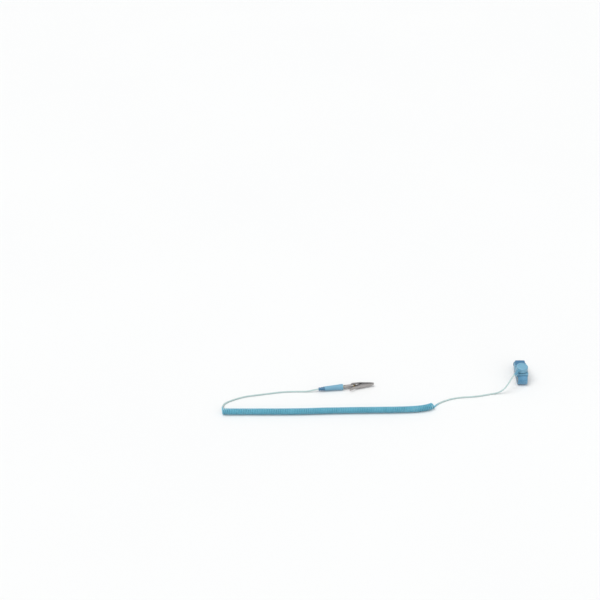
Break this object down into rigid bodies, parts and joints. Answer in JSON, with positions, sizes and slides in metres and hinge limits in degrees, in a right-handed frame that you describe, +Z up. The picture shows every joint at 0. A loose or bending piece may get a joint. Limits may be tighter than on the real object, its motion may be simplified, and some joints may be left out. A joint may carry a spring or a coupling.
{
  "type": "esd wrist strap",
  "caption": "Blue anti-static wrist strap: closed elastic band with snap head, curly cord, banana plug and alligator clip.",
  "frame": {"origin": "on the surface the band stands on, under the middle of the closed band's box", "axes": "+Z up, +Y along the flattened loop away from the cord's side, X is the way through the loop"},
  "size_m": [0.4958, 0.1292, 0.0271],
  "materials": {
    "elastic": "knitted elastic",
    "lining": "knit with silvered thread",
    "stainless": "brushed",
    "nickel": "nickel plate",
    "spring_steel": "polished",
    "blue_plastic": "satin moulded",
    "deep_blue_plastic": "satin moulded",
    "blue_soft_plastic": "soft moulded",
    "cord_jacket": "smooth polyurethane",
    "lead_jacket": "smooth polyurethane, paler than the coil",
    "resistor_coat": "lacquered",
    "tinned_wire": "tinned",
    "brass_core": "turned",
    "clip_steel": "dull nickel plate over steel"
  },
  "bodies": {
    "band": {"elastic_band": "elastic", "conductive_lining": "lining", "skin_plate": "stainless", "buckle_body": "blue_plastic", "adjuster_bar": "stainless", "clasp_pin": "stainless", "snap_stud": "nickel", "stud_rivet": "nickel", "band_end_tip": "deep_blue_plastic"},
    "clasp": {"clasp_lever": "deep_blue_plastic"},
    "snap_ring": {"snap_spring": "spring_steel"},
    "cord": {"head_cover": "blue_plastic", "head_base": "blue_plastic", "snap_socket": "nickel", "safety_resistor": "resistor_coat", "resistor_wires": "tinned_wire", "head_strain_relief": "blue_soft_plastic", "head_lead": "lead_jacket", "cord_coil": "cord_jacket"},
    "plug_end": {"plug_lead": "lead_jacket", "plug_boot": "deep_blue_plastic", "plug_sleeve": "blue_plastic", "plug_core": "brass_core", "clamp_screw": "stainless"},
    "plug_cage": {"plug_cage": "spring_steel"},
    "clip": {"clip_fixed_jaw": "clip_steel", "clip_rivet": "clip_steel", "clip_spring": "spring_steel"},
    "clip_jaw": {"clip_moving_jaw": "clip_steel"}
  },
  "joints": [
    {"name": "clasp_hinge", "type": "hinge", "parent": "band", "child": "clasp", "pos_m": [0, 0.0046, 0.0181], "axis": [1, 0, 0], "range_deg": [0, 80]},
    {"name": "snap_pull", "type": "slide", "parent": "band", "child": "snap_ring", "axis": [0, 0, 1], "range_m": [0, 0.012]},
    {"name": "snap_swivel", "type": "hinge", "parent": "snap_ring", "child": "cord", "pos_m": [0, -0.007, 0.0196], "axis": [0, 0, 1], "continuous": true},
    {"name": "coil_stretch", "type": "slide", "parent": "cord", "child": "plug_end", "axis": [-1, 0, 0], "range_m": [0, 0.25], "deforming": ["cord_coil"]},
    {"name": "clip_swivel", "type": "hinge", "parent": "plug_end", "child": "plug_cage", "pos_m": [-0.332, -0.04, 0.00475], "axis": [-0.9877, -0.1564, 0], "continuous": true},
    {"name": "clip_pull", "type": "slide", "parent": "plug_cage", "child": "clip", "axis": [0.9877, 0.1564, 0], "range_m": [0, 0.02]},
    {"name": "clip_jaw_hinge", "type": "hinge", "parent": "clip", "child": "clip_jaw", "pos_m": [-0.27011, -0.03121, 0.00475], "axis": [0, 0, -1], "range_deg": [0, 24], "stiffness_Nm_per_rad": 0.1, "springref_deg": -28.65, "deforming": ["clip_spring"]}
  ]
}
